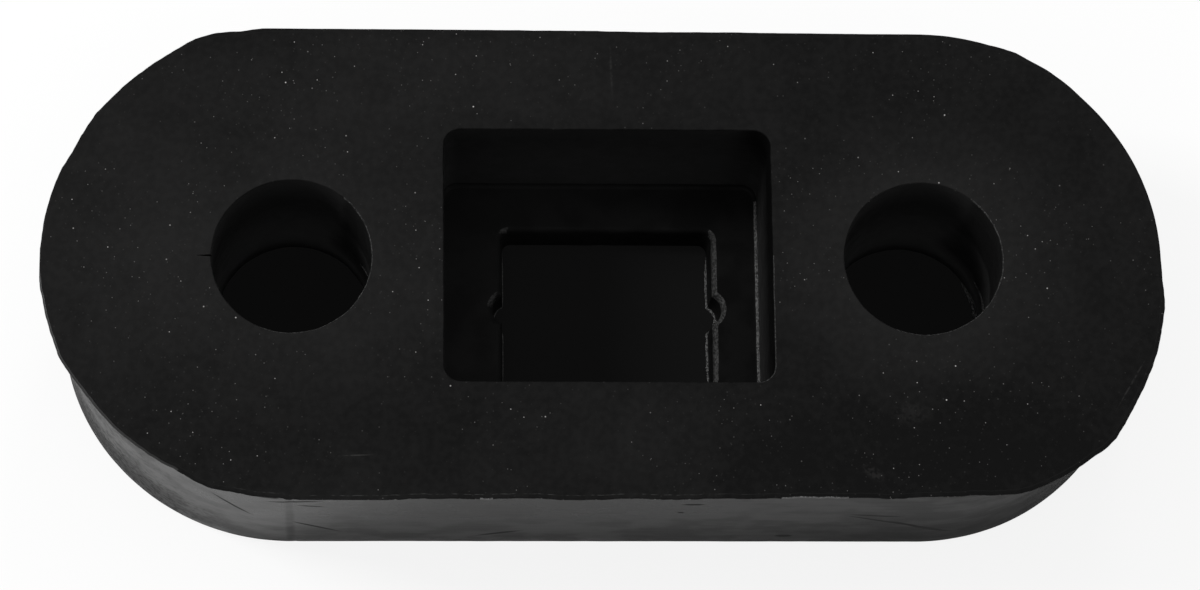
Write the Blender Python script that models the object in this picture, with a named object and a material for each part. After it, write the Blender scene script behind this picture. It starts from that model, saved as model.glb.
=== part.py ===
"""A rubber exhaust hanger: a flat block with round ends, two eyes for the hanger rods, and a pocket between them.

The block lies on its back face. +X runs along its length, +Z points out of its front face, and the origin is
on the back face, midway between the two eyes. All sizes are in metres.
"""

import math

import bmesh
import bpy
from mathutils import Vector

# The eyes slip over the bent ends of two 12 mm hanger rods.
EYE_DIAMETER = 0.0120
EYE_SPACING = 0.0476

# The block's ends are round and share their centres with the eyes.
END_RADIUS = 0.0180
THICKNESS = 0.0164
# The side wall leans in by this much from the front to the back, so that the block leaves its mould.
SIDE_DRAFT = 0.0001
BACK_EDGE_RADIUS = 0.0004

# The pocket is moulded into the front face, a little above the line through the eyes.
POCKET_WIDTH = 0.0248
POCKET_HEIGHT = 0.0199
POCKET_CORNER_RADIUS = 0.0013
POCKET_RISE = 0.0002
# The pocket stops at a web, which is flush with the back face.
WEB_THICKNESS = 0.0034

# A window goes through the web. It narrows towards the back and has a round ear at the middle of each side.
WINDOW_FRONT_WIDTH = 0.0174
WINDOW_BACK_WIDTH = 0.0164
WINDOW_HEIGHT = 0.0126
WINDOW_CORNER_RADIUS = 0.0007
WINDOW_SHIFT = 0.00055
EAR_RADIUS = 0.0017
EAR_BULGE = 0.0007

# A thin lip of moulding flash is left round the front face, and was trimmed by hand.
LIP_THICKNESS = 0.0005
LIP_REACH = 0.0010
# Each pair is a bearing on that end, in degrees up from the block's long axis, and how many times
# LIP_REACH the lip stands out there.
RIGHT_TRIM = (
    (-90, 0.66),
    (-80, 0.74),
    (-75, 1.03),
    (-70, 1.43),
    (-58, 1.74),
    (-45, 1.87),
    (-37, 1.25),
    (-28, 0.95),
    (-10, 0.48),
    (0, 0.08),
    (46, 0.08),
    (65, 0.32),
    (72, 0.10),
    (90, 0.14),
)
LEFT_TRIM = (
    (-90, 0.87),
    (-70, 0.85),
    (-62, 0.64),
    (-16, 0.62),
    (-4, 0.82),
    (11, 0.60),
    (27, 0.50),
    (62, 0.54),
    (69, 0.76),
    (77, 0.33),
    (90, 0.16),
)

# How finely round shapes are cut into flats, and how far a cutter runs past what it cuts.
DEGREES_PER_FLAT = 2
EYE_FLATS = 72
EAR_FLATS = 32
CORNER_FLATS = 5
EDGE_FLATS = 3
CUTTER_OVERRUN = 0.0010
WELD_DISTANCE = 0.000001
# Edges that turn by more than this stay sharp, and the flats of a round shape are shaded smooth.
SHARP_ANGLE = math.radians(30)
# Neighbouring faces that turn by less than this are one flat face.
FLAT_ANGLE = math.radians(0.1)

RUBBER_COLOUR = (0.024, 0.024, 0.024, 1.0)
RUBBER_ROUGHNESS = 0.62


def clear_scene():
    """Remove every object, so that the part stands alone."""
    for old in list(bpy.data.objects):
        bpy.data.objects.remove(old, do_unlink=True)


def new_collection(name):
    """A collection in the scene."""
    collection = bpy.data.collections.new(name)
    bpy.context.scene.collection.children.link(collection)
    return collection


def rubber_material():
    """Dull black rubber."""
    material = bpy.data.materials.new("black_rubber")
    material.use_nodes = True
    shader = material.node_tree.nodes["Principled BSDF"]
    shader.inputs["Base Color"].default_value = RUBBER_COLOUR
    shader.inputs["Roughness"].default_value = RUBBER_ROUGHNESS
    shader.inputs["Metallic"].default_value = 0.0
    return material


def reach_at(bearing, trim):
    """How far the lip stands out at a bearing, on straight lines between the trimmed points."""
    for (low, low_times), (high, high_times) in zip(trim, trim[1:]):
        if low <= bearing <= high:
            share = (bearing - low) / (high - low)
            return LIP_REACH * (low_times + share * (high_times - low_times))
    raise ValueError("the bearing is off the end of the block")


def rounded_outline(with_lip):
    """Points round the block, anticlockwise: two ends about the eyes, joined by straight sides."""
    points = []
    for side, trim in ((1, RIGHT_TRIM), (-1, LEFT_TRIM)):
        for step in range(-90, 91, DEGREES_PER_FLAT):
            bearing = side * step
            reach = reach_at(bearing, trim) if with_lip else 0.0
            radius = END_RADIUS + reach
            turn = math.radians(bearing)
            x = side * (EYE_SPACING / 2 + radius * math.cos(turn))
            points.append((x, radius * math.sin(turn)))
    return points


def rounded_rectangle(width, height, corner_radius):
    """Points round a rectangle with round corners, anticlockwise."""
    points = []
    corners = ((1, 1, 0), (-1, 1, 90), (-1, -1, 180), (1, -1, 270))
    for x_side, y_side, start in corners:
        centre_x = x_side * (width / 2 - corner_radius)
        centre_y = y_side * (height / 2 - corner_radius)
        for flat in range(CORNER_FLATS + 1):
            turn = math.radians(start + 90 * flat / CORNER_FLATS)
            x = centre_x + corner_radius * math.cos(turn)
            points.append((x, centre_y + corner_radius * math.sin(turn)))
    return points


def slab(name, points, low, high, collection):
    """A flat plate with this outline, from height low to height high, as a closed mesh object."""
    curve = bpy.data.curves.new(name, "CURVE")
    curve.dimensions = "2D"
    curve.fill_mode = "BOTH"
    curve.extrude = (high - low) / 2
    spline = curve.splines.new("POLY")
    spline.points.add(len(points) - 1)
    for point, (x, y) in zip(spline.points, points):
        point.co = (x, y, 0.0, 1.0)
    spline.use_cyclic_u = True
    guide = bpy.data.objects.new(name + "_outline", curve)
    collection.objects.link(guide)
    bpy.context.view_layer.update()
    graph = bpy.context.evaluated_depsgraph_get()
    mesh = bpy.data.meshes.new_from_object(guide.evaluated_get(graph))
    bpy.data.objects.remove(guide, do_unlink=True)
    bpy.data.curves.remove(curve)
    mesh.name = name
    shape = bmesh.new()
    shape.from_mesh(mesh)
    bmesh.ops.remove_doubles(shape, verts=shape.verts, dist=WELD_DISTANCE)
    bmesh.ops.translate(shape, verts=shape.verts, vec=(0.0, 0.0, (low + high) / 2))
    bmesh.ops.recalc_face_normals(shape, faces=shape.faces)
    # Each flat cap becomes one face, because the Booleans cut that more cleanly than a fan of thin triangles.
    bmesh.ops.dissolve_limit(shape, angle_limit=FLAT_ANGLE, verts=shape.verts, edges=shape.edges)
    shape.to_mesh(mesh)
    shape.free()
    plate = bpy.data.objects.new(name, mesh)
    collection.objects.link(plate)
    return plate


def lean_in(point):
    """Where a point of the straight block goes when its side wall is given its draft."""
    spine_x = max(-EYE_SPACING / 2, min(EYE_SPACING / 2, point.x))
    outward = Vector((point.x - spine_x, point.y, 0.0))
    depth_share = 1 - point.z / THICKNESS
    return point - outward.normalized() * SIDE_DRAFT * depth_share


def is_back_edge(edge):
    """Whether an edge runs round the back face."""
    on_back = all(vertex.co.z < WELD_DISTANCE for vertex in edge.verts)
    return on_back and edge.calc_face_angle() > SHARP_ANGLE


def make_block(collection):
    """The block under the lip, with its draft and its rounded back edge."""
    # It ends halfway up the lip, so that the two share no face.
    top = THICKNESS - LIP_THICKNESS / 2
    block = slab("hanger_body", rounded_outline(with_lip=False), 0.0, top, collection)
    shape = bmesh.new()
    shape.from_mesh(block.data)
    for vertex in shape.verts:
        vertex.co = lean_in(vertex.co)
    back_edges = [edge for edge in shape.edges if is_back_edge(edge)]
    bmesh.ops.bevel(
        shape,
        geom=back_edges,
        offset=BACK_EDGE_RADIUS,
        segments=EDGE_FLATS,
        profile=0.5,
        affect="EDGES",
    )
    shape.to_mesh(block.data)
    shape.free()
    return block


def round_cutter(name, x, radius, flats, low, high, collection):
    """A cylinder that stands upright on the line through the eyes."""
    bpy.ops.mesh.primitive_cylinder_add(
        vertices=flats,
        radius=radius,
        depth=high - low,
        location=(x, 0.0, (low + high) / 2),
    )
    cutter = bpy.context.active_object
    cutter.name = name
    for holder in list(cutter.users_collection):
        holder.objects.unlink(cutter)
    collection.objects.link(cutter)
    return cutter


def make_window_cutter(low, high, collection):
    """The window's cutter, whose sides slope from the web's front to its back."""
    outline = rounded_rectangle(WINDOW_FRONT_WIDTH, WINDOW_HEIGHT, WINDOW_CORNER_RADIUS)
    cutter = slab("window_cutter", outline, low, high, collection)
    slope = (WINDOW_FRONT_WIDTH - WINDOW_BACK_WIDTH) / 2 / WEB_THICKNESS
    for vertex in cutter.data.vertices:
        narrowing = slope * (WEB_THICKNESS - vertex.co.z)
        vertex.co.x += WINDOW_SHIFT - math.copysign(narrowing, vertex.co.x)
    return cutter


def make_cutters(collection):
    """Everything that is cut from the block."""
    below = -CUTTER_OVERRUN
    above = THICKNESS + CUTTER_OVERRUN
    past_web = WEB_THICKNESS + CUTTER_OVERRUN
    cutters = []
    for name, side in (("right", 1), ("left", -1)):
        eye_x = side * EYE_SPACING / 2
        eye = round_cutter(name + "_eye_cutter", eye_x, EYE_DIAMETER / 2, EYE_FLATS, below, above, collection)
        cutters.append(eye)
        side_x = WINDOW_SHIFT + side * WINDOW_FRONT_WIDTH / 2
        ear_x = side_x + side * (EAR_BULGE - EAR_RADIUS)
        ear = round_cutter(name + "_ear_cutter", ear_x, EAR_RADIUS, EAR_FLATS, below, past_web, collection)
        cutters.append(ear)
    outline = rounded_rectangle(POCKET_WIDTH, POCKET_HEIGHT, POCKET_CORNER_RADIUS)
    raised = [(x, y + POCKET_RISE) for x, y in outline]
    cutters.append(slab("pocket_cutter", raised, WEB_THICKNESS, above, collection))
    cutters.append(make_window_cutter(below, past_web, collection))
    for cutter in cutters:
        hide_helper(cutter)
    return cutters


def hide_helper(helper):
    """Show a helper as wires only, and keep it out of a render."""
    helper.hide_render = True
    helper.display_type = "WIRE"


def add_boolean(target, operation, other):
    """Join another object to the target, or cut it away."""
    boolean = target.modifiers.new(other.name, "BOOLEAN")
    boolean.operation = operation
    boolean.solver = "EXACT"
    boolean.object = other


def apply_modifiers(body):
    """Turn the Booleans' result into the body's own mesh, with its round walls shaded smooth."""
    bpy.context.view_layer.update()
    graph = bpy.context.evaluated_depsgraph_get()
    mesh = bpy.data.meshes.new_from_object(body.evaluated_get(graph))
    body.modifiers.clear()
    body.data = mesh
    mesh.name = body.name
    mesh.shade_smooth()
    mesh.set_sharp_from_angle(angle=SHARP_ANGLE)


def make_hanger():
    """The whole hanger: block and lip as one piece, with the eyes, the pocket and the window cut out."""
    parts = new_collection("exhaust_hanger")
    helpers = new_collection("cutters")
    body = make_block(parts)
    lip_low = THICKNESS - LIP_THICKNESS
    lip = slab("flash_lip", rounded_outline(with_lip=True), lip_low, THICKNESS, helpers)
    hide_helper(lip)
    add_boolean(body, "UNION", lip)
    for cutter in make_cutters(helpers):
        add_boolean(body, "DIFFERENCE", cutter)
    apply_modifiers(body)
    body.data.materials.clear()
    body.data.materials.append(rubber_material())
    return body


def main():
    clear_scene()
    make_hanger()


if __name__ == "__main__":
    main()
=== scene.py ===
"""The looks of a rubber exhaust hanger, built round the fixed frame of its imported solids.

Everything is in metres, in the solids' own frame: the hanger lies on its back face, +X runs along its
length and +Z points out of its front face, from an origin midway between the two eyes.
"""

import math

import bmesh
import bpy
from mathutils import Matrix, Vector, noise


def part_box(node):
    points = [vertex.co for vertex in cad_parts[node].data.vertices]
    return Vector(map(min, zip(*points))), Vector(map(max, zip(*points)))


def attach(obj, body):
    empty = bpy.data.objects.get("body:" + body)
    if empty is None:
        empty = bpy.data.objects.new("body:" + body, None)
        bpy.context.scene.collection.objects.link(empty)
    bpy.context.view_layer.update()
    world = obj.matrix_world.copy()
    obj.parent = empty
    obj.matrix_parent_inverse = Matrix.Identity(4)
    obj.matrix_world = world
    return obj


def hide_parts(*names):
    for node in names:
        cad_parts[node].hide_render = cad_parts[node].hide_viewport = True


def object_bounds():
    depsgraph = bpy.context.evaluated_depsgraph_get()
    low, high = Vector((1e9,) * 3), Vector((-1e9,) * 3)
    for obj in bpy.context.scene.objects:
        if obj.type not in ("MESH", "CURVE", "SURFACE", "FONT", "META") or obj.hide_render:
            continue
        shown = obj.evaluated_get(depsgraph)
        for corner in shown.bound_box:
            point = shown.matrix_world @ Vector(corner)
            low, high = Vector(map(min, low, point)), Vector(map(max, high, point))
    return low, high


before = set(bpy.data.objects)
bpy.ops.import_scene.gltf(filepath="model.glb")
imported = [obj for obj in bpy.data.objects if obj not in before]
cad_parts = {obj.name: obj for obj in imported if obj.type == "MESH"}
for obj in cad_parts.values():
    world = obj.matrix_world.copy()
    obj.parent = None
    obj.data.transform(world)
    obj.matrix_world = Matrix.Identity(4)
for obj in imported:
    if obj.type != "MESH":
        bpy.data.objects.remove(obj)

bl_info = {
    "name": "Exhaust Hanger",
    "version": (1, 0, 0),
    "blender": (4, 5, 0),
    "location": "View3D > Sidebar > Hanger",
    "description": "Builds a moulded rubber exhaust hanger with its flash, its finish and a pale stage",
    "category": "Object",
}

CAD_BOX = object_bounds()
BODY_NODE = "hanger_body"
FRONT_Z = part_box(BODY_NODE)[1][2]

MM = 0.001

# How far the lip of flash was left standing out, in millimetres, against the bearing on each end of the
# block, in degrees up from its long axis. It was trimmed by hand, so the two ends differ.
RIGHT_TRIM = (
    (-90, 0.66),
    (-80, 0.74),
    (-75, 1.03),
    (-70, 1.43),
    (-58, 1.74),
    (-45, 1.87),
    (-37, 1.38),
    (-28, 0.98),
    (-10, 0.48),
    (-5, 0.16),
    (0, 0.04),
    (46, 0.04),
    (65, 0.32),
    (72, 0.10),
    (90, 0.05),
)
LEFT_TRIM = (
    (-90, 0.87),
    (-70, 0.85),
    (-62, 0.64),
    (-34, 0.70),
    (-25, 0.90),
    (-17, 0.80),
    (-10, 0.84),
    (-4, 0.82),
    (11, 0.66),
    (22, 0.66),
    (28, 0.50),
    (62, 0.62),
    (67, 0.84),
    (71, 0.72),
    (77, 0.33),
    (90, 0.22),
)

# The rounded mouth of a hole, in edge radii: height over the face, and how far outside the hole's wall.
MOUTH = ((1.0, 1.75), (-0.3, 0.35), (-1.0, 0.0))

# The mould's two halves join here, on the lower side. The join leaves a small tab on the lip, which is cut
# back a little on both sides of it, and a faint groove down the wall, which wanders.
JOIN_X = -23.9 * MM
JOIN_LEAN = 0.02
JOIN_DEPTH = 0.020 * MM
JOIN_HALF_WIDTH = 0.35 * MM
JOIN_WANDER = 0.05 * MM
TAB_REACH = 0.15 * MM
TAB_HALF_WIDTH = 0.45 * MM
TAB_CUT_BACK = 2.4 * MM
# A fine line is pressed into the lip this far in from its edge.
PRESSED_IN = 0.29 * MM
PRESSED_WIDTH = 0.05 * MM
# The lip's edge is worn round to this radius on the left end, most at one bearing, and sharper elsewhere.
WORN_ROUND = 0.19 * MM
SHARP_ROUND = 0.06 * MM
WORN_BEARING = -32
WORN_SPREAD = 48
# A lip that reaches less than this is cut more cleanly, and every cut leaves this share of the reach.
RAGGED_FROM = 0.40 * MM
LEAST_REACH = 0.3
# The waves of the cut edge: the size of their lumps, what they add to the seed, and how strong they are.
CUT_WAVES = ((5.0 * MM, 0, 2.2), (2.2 * MM, 6, 1.32), (0.7 * MM, 1, 0.75), (0.3 * MM, 2, 0.35))

# Where the cut edge of the lower lip is torn pale, along the block; the paleness is partly torn rubber and
# partly a painted glint.
TORN_STRETCHES = ((-9.7 * MM, -8.7 * MM), (12.5 * MM, 17.6 * MM))

# How far moulded edges and walls wander from their true shape, and in what lumps the side wall does.
WALL_WAVE = 0.030 * MM
WALL_LUMP = 9.0 * MM
WALL_FINE_SHARE = 0.35
WALL_FINE_LUMP = 1.6 * MM
# How far the lower corners of the left and the right end swell out at their fullest.
END_SWELL = (0.09 * MM, 0.24 * MM)
EYE_WANDER = 0.030 * MM
POCKET_WANDER = 0.030 * MM
WINDOW_WANDER = 0.045 * MM
# The front edge of the window is worn round, to this radius.
WINDOW_ROLL = 0.45 * MM
ROLL_BEARINGS = (20, 38, 56, 74, 90)

SLIT_WIDTH = 0.20 * MM
SLIT_LENGTH = 1.05 * MM
SLIT_DEPTH = 2.50 * MM

# How finely each shape is cut into flats.
END_STEPS = 240
SIDE_STEPS = 200
WALL_STEPS = 10
EDGE_STEPS = 4
EYE_STEPS = 180
CORNER_STEPS = 12
STRAIGHT_STEPS = 24
EAR_STEPS = 16
FILLET_STEPS = 5
ROUND_STEPS = 4
POCKET_WALL_ROWS = 8
MOUTH_ROWS = 3
EYE_ROWS = 6
FIN_STEPS = 40

# Each seed reads the noise this far along.
SEED_SHIFT = 17.3
# How far a cutter stands out of the block, and how much wider it is there, in edge radii.
OVERRUN = 1.0 * MM
OVERRUN_OUTSET = 2.6
WELD = 0.0001 * MM
FLAT_COSINE = 0.9999
SHARP_ANGLE = math.radians(38)
FLAT_SHARP_ANGLE = math.radians(5)

# The rubber's finishes, in the order of their material slots.
FRONT, SIDE, INNER, EYE, WEB, CUT, WORN_AND_HIGHLIGHT, TORN_AND_HIGHLIGHT, PRESSED = range(9)

# Where the edges inside the face are worn or torn, and paled partly as a painted highlight: from here to the
# right, or in these boxes over the web.
WORN_POCKET_X = 11.0 * MM
WORN_WINDOW_X = 8.6 * MM
WORN_WINDOW_SPOTS = (
    ((-10.0 * MM, 0.1 * MM), (-8.1 * MM, 1.3 * MM)),
    ((-7.8 * MM, 6.2 * MM), (-7.2 * MM, 8.0 * MM)),
)
TORN_FILLET_X = 11.9 * MM
TORN_FILLET_Y = 8.5 * MM
# The lip's rounded edge shines like the side wall from here to the left.
SHINY_EDGE_X = -32.0 * MM
# The side wall's lowest part is as rough as a cut edge.
ROUGH_FOOT = 0.3 * MM

# Torn fins of flash in the eyes: which eye, the bearings and the heights at both ends, and how far each
# stands out as a share of the flash reach.
EYE_FINS = (
    (1, -12, 34, 0.60 * MM, 0.14 * MM, 1.35),
    (1, -16, 24, 1.60 * MM, 0.60 * MM, 0.45),
    (1, -9, 24, 5.6 * MM, 3.5 * MM, 0.75),
    (-1, 31, 15, 5.1 * MM, 6.5 * MM, 0.60),
    (-1, -27, -36, 16.15 * MM, 15.5 * MM, 0.50),
)
WINDOW_FLASH_HEIGHT = 0.15 * MM
# What a fin of flash is made from: the inputs of its nodes, their kinds and their plain values.
FIN_INPUTS = (
    ("Path", "Geometry", None),
    ("Reach", "Float", 0.2 * MM),
    ("Thickness", "Float", 0.05 * MM),
    ("Spacing", "Float", 0.12 * MM),
    ("Lump", "Float", 0.5 * MM),
    ("Raggedness", "Float", 1.0),
    ("Seed", "Int", 0),
    ("Material", "Material", None),
)
# How steeply a fin grows from its ends.
FIN_TAPER = 9.0
# How far the fins of flash stand out on the right and the left side of the window, in the same shares.
WINDOW_FLASH_SHARES = (1.0, 0.38)

# The marks below are given in millimetres and degrees.
# Parts of the front face that are paler, partly greyed bloom and partly painted light, with a negative
# amount, at the lower right, painting shade: middle, length, width, and how much.
BLOOM_AND_LIGHT_PATCHES = (
    ((-23.0, 0.0), 36.0, 30.0, 0.40),
    ((-38.0, 2.0), 22.0, 34.0, 0.35),
    ((23.8, 0.0), 30.0, 26.0, 0.62),
    ((-14.0, 14.0), 46.0, 12.0, 0.30),
    ((24.0, -16.0), 40.0, 16.0, -0.30),
    ((0.0, -13.0), 20.0, 10.0, 0.15),
)
# Light scuffs on the front face: middle, length, width, turn, and how much.
SCUFFS = (
    ((-18.8, -15.5), 2.8, 0.15, 2, 0.045),
    ((19.5, -16.8), 2.4, 1.2, -35, 0.022),
    ((39.2, -9.7), 5.8, 0.20, 59, 0.030),
    ((0.36, 15.0), 5.6, 0.24, 92, 0.020),
    ((22.4, -12.2), 4.0, 2.4, 0.0, 0.012),
)
# Dust on the front face: the cell that may hold one speck, the speck's radius, the share of the cells that
# hold one, and how much.
DUST = (
    (0.43, 0.060, 0.30, 0.035),
    (0.62, 0.038, 0.14, 0.35),
    (1.15, 0.046, 0.12, 0.75),
    (2.7, 0.062, 0.14, 1.0),
)
# Dull scuffs on the lower side wall: middle along the block and up the wall, length, width, lean, and how
# much.
WALL_SCUFFS = (
    ((-22.0, 5.0), 5.8, 0.42, 39, 0.90),
    ((-28.4, 9.8), 6.6, 0.42, 52, 0.90),
    ((22.0, 6.4), 10.0, 0.42, 28, 0.80),
    ((20.5, 8.4), 5.0, 0.40, 8, 0.70),
    ((24.3, 5.0), 7.5, 0.60, 36, 0.70),
    ((-8.0, 3.0), 5.0, 0.60, -24, 0.50),
    ((6.4, 11.6), 2.2, 0.60, 0.0, 0.95),
    ((5.6, 9.2), 0.7, 0.50, 0.0, 0.80),
    ((14.0, 2.2), 1.6, 0.80, 0.0, 0.90),
    ((-23.9, 8.0), 1.00, 30.0, 0.0, 0.16),
    ((-26.0, 13.4), 4.2, 0.55, 10, 0.90),
    ((-23.4, 12.3), 5.6, 0.50, -4, 0.85),
    ((-22.2, 11.0), 3.0, 0.45, 14, 0.60),
)
WALL_Y = -18.0 * MM
# How far these marks reach into the block.
FACE_PATCH_DEPTH = 2 * MM
WALL_PATCH_DEPTH = 4 * MM
# The lumps of the mould's fine grain and of the slow waves under it.
GRAIN_LUMP = 0.16 * MM
WAVE_LUMP = 1.3 * MM
# The right-hand inner walls, which the left lamp lights, are painted darkest as painted shade: where the
# pocket's and the eyes' start and end along the block.
PAINTED_SHADE_POCKET_SIDE = (9.2 * MM, 12.3 * MM)
PAINTED_SHADE_EYE_SIDES = ((-23.4 * MM, -19.6 * MM), (24.2 * MM, 28.0 * MM))

FLOOR_GAP = 0.02 * MM
# The dark sheet under the block, which paints the shade seen through the eyes and the window, is smaller
# than the block by this share.
PAINTED_SHADE_SHARE = 0.94
# The colour of the sheet of painted shade, which also glows faintly.
PAINTED_SHADE_COLOUR = (0.007, 0.007, 0.007, 1.0)
SKY_STRENGTH = 0.60
# Soft lamps: name, place, what it is aimed at, size, and power.
LAMPS = (
    ("left_lamp", (-0.42, 0.12, 0.42), (0.0, 0.0, 0.0), 0.14, 1.9),
    ("back_lamp", (0.10, 0.45, 0.40), (0.0, 0.0, 0.0), 0.12, 0.45),
)


def length_value(name, description, default, precision=5):
    """A setting that is a length."""
    return bpy.props.FloatProperty(
        name=name, description=description, default=default, unit="LENGTH", precision=precision
    )


def share_value(name, description, default):
    """A setting between 0 and 1."""
    return bpy.props.FloatProperty(
        name=name, description=description, default=default, min=0.0, max=1.0, subtype="FACTOR"
    )


def angle_value(name, description, degrees):
    """A setting that is an angle."""
    return bpy.props.FloatProperty(
        name=name, description=description, default=math.radians(degrees), subtype="ANGLE"
    )


def colour_value(name, description, default):
    """A setting that is a colour."""
    return bpy.props.FloatVectorProperty(
        name=name,
        description=description,
        subtype="COLOR",
        size=4,
        default=(*default, 1.0),
        min=0.0,
        max=1.0,
    )


class HangerSizes(bpy.types.PropertyGroup):
    """The sizes of the moulded rubber."""

    eye_diameter: length_value("Eye diameter", "Bore of each eye, which slips over a hanger rod", 0.0120)
    eye_spacing: length_value("Eye spacing", "Distance between the middles of the two eyes", 0.0476)
    end_radius: length_value("End radius", "Radius of the block's round ends, under the lip", 0.0180)
    draft: length_value("Draft", "How far the side wall leans in from the front to the back", 0.0001)
    back_edge: length_value("Back edge", "Radius of the edge round the back face", 0.0004)
    lip_edge: length_value("Lip edge", "Thickness of the lip of flash at its cut edge", 0.00028)
    lip_root: length_value(
        "Lip root", "How far below the front face the underside of the lip runs into the wall", 0.0010
    )
    raggedness: length_value(
        "Raggedness", "How far the cut edge of the lip wanders in and out", 0.00006, precision=6
    )
    edge_radius: length_value(
        "Edge radius",
        "Radius of the edges of the eyes and the pocket in the front face",
        0.00011,
        precision=6,
    )
    pocket_width: length_value("Pocket width", "Width of the pocket at its mouth", 0.0248)
    pocket_height: length_value("Pocket height", "Height of the pocket at its mouth", 0.0199)
    pocket_corner: length_value("Pocket corner", "Radius of the pocket's corners", 0.0013)
    pocket_rise: length_value(
        "Pocket rise", "How far the pocket lies above the line through the eyes", 0.0002
    )
    pocket_fillet: length_value(
        "Pocket fillet", "Radius of the corner between the pocket's walls and the web", 0.00035
    )
    web: length_value("Web", "Thickness of the web at the bottom of the pocket", 0.0034)
    window_width: length_value(
        "Window width", "Width of the window through the web, on its front side", 0.0174
    )
    window_back_width: length_value("Window back width", "Width of the window on the back face", 0.0161)
    window_height: length_value("Window height", "Height of the window", 0.0126)
    window_corner: length_value("Window corner", "Radius of the window's corners", 0.0007)
    window_shift: length_value(
        "Window shift", "How far the window lies to the right of the block's middle", 0.00055
    )
    ear_radius: length_value(
        "Ear radius", "Radius of the round ear in the middle of each side of the window", 0.0017
    )
    ear_bulge: length_value("Ear bulge", "How far each ear reaches past the window's side", 0.0007)
    flash_reach: length_value(
        "Flash reach",
        "How far the thin fins of flash stand into the eyes and the window",
        0.00022,
        precision=6,
    )
    seed: bpy.props.IntProperty(
        name="Seed",
        description="Chooses another set of ragged edges",
        default=7,
        min=0,
    )


class RubberFinish(bpy.types.PropertyGroup):
    """The colours and the surface of the rubber."""

    rubber: colour_value("Rubber", "Colour of clean rubber", (0.0016, 0.0016, 0.0016))
    # Painted light: the pocket's walls and web are paled towards this colour where shade falls deep inside.
    deep: colour_value("Deep rubber", "Colour deep inside the pocket", (0.0300, 0.0300, 0.0300))
    # Painted light: the eye walls are paled towards this colour where little light reaches.
    eye_painted_light: colour_value(
        "Deep eye rubber", "Colour deep inside the eyes, where little light reaches", (0.155, 0.155, 0.155)
    )
    # Also the colour that paints light and shade in broad patches on the front face.
    bloom_and_painted_light: colour_value("Bloom", "Colour of rubber that has greyed with age", (0.0104, 0.0103, 0.0102))
    # Also pales the lamp-facing worn and torn edges, partly as a painted highlight.
    worn: colour_value(
        "Worn rubber", "Colour of rubber that is rubbed pale along an edge", (0.090, 0.090, 0.089)
    )
    dust: colour_value("Dust", "Colour of dust specks and lint", (0.42, 0.41, 0.40))
    roughness: share_value("Face roughness", "Roughness of the dull front face", 0.55)
    specular: share_value("Face specular level", "Strength of the front face's reflection", 0.062)
    # Also the colour of the painted light towards the left of the side wall.
    side_bloom_and_painted_light: colour_value(
        "Side bloom", "Colour of the side wall where it has greyed", (0.016, 0.016, 0.0158)
    )
    side_roughness: share_value("Side roughness", "Roughness of the side wall", 0.29)
    side_specular: share_value("Side specular level", "Strength of the side wall's reflection", 0.17)
    inner_roughness: share_value("Inner roughness", "Roughness of the inner walls", 0.42)
    inner_specular: share_value("Inner specular level", "Strength of the inner walls' reflection", 0.09)
    worn_specular: share_value("Worn specular level", "Strength of the torn edges' reflection", 0.50)
    web_specular: share_value("Web specular level", "Strength of the web's reflection", 0.03)


class StageSetup(bpy.types.PropertyGroup):
    """The floor, the lights and the camera."""

    floor: colour_value("Floor", "Colour of the floor", (0.97, 0.97, 0.97))
    floor_width: length_value("Floor width", "Width of the square floor", 3.0, precision=2)
    floor_whiteness: share_value(
        "Floor whiteness",
        "How much of the floor's look is plain white, with the rest showing the soft shadow",
        0.84,
    )
    # How brightly the sheet of painted shade under the block glows.
    painted_shade_glow: bpy.props.FloatProperty(
        name="Underlay tone",
        description="How bright the dark sheet under the eyes and the window looks",
        default=0.0025,
        min=0.0,
        max=1.0,
        precision=4,
    )
    camera_distance: length_value(
        "Camera distance", "Distance from the camera to the front face", 0.3500, precision=4
    )
    camera_tilt: angle_value(
        "Camera tilt",
        "How far the camera leans from straight over the face towards its lower edge",
        17.523,
    )
    camera_swing: angle_value(
        "Camera swing", "How far the camera swings to the right of straight over the face", -3.096
    )
    camera_roll: angle_value("Camera roll", "How far the camera is turned about its own axis", -0.712)
    camera_lens: bpy.props.FloatProperty(
        name="Camera lens",
        description="Focal length of the lens, in millimetres",
        default=140.03,
    )
    aim_x: length_value("Aim right", "Where the camera points, along the block", -0.00069)
    aim_y: length_value("Aim up", "Where the camera points, across the block", -0.0030)


def smooth_noise(x, y, z, lump, seed):
    """A smooth random value from about -1 to 1, in lumps of about one size."""
    return noise.noise(Vector((x / lump + SEED_SHIFT * seed, y / lump, z / lump)))


def reach_at(bearing, trim):
    """How far the lip stands out at a bearing, on a smooth line through the trimmed points."""
    for (low, low_reach), (high, high_reach) in zip(trim, trim[1:]):
        if low <= bearing <= high:
            share = (bearing - low) / (high - low)
            return MM * (low_reach + share * (high_reach - low_reach))
    raise ValueError("the bearing is off the end of the block")


def line_points(start, end, steps):
    """Points on a straight line, with its start and without its end."""
    points = []
    for step in range(steps):
        share = step / steps
        points.append((start[0] + share * (end[0] - start[0]), start[1] + share * (end[1] - start[1])))
    return points


def arc_points(centre, radius, start, end, steps):
    """Points on an arc between two bearings in degrees, with its start and without its end."""
    points = []
    for step in range(steps):
        turn = math.radians(start + (end - start) * step / steps)
        points.append((centre[0] + radius * math.cos(turn), centre[1] + radius * math.sin(turn)))
    return points


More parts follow.
